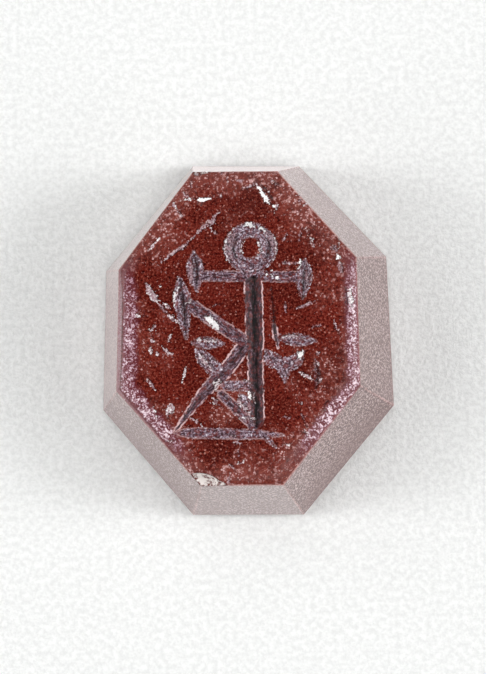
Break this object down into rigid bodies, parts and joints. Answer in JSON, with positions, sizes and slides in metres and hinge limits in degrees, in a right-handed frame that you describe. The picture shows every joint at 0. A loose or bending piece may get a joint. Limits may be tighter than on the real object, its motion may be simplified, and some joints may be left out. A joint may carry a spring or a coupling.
{
  "type": "engraved gem",
  "caption": "Long octagonal ringstone of opaque red stone, polished flat on top with a deep-cut anchor-like sign, its flanks sloping out to a girdle over a flat back.",
  "frame": {"origin": "on the flat back, under the middle of the girdle's width and length", "axes": "+Z from the flat back up through the engraved face, +Y along the stone's length towards the ring at the head of the sign, +X to the right of someone who reads the face"},
  "size_m": [0.0112, 0.0135, 0.004],
  "materials": {
    "jasper": "opaque brownish red jasper, worn polish on the face, fine matt grinding on flanks and back, frosted wheel-cut strokes"
  },
  "bodies": {
    "root": {"engraved_gem": "jasper"}
  },
  "joints": []
}
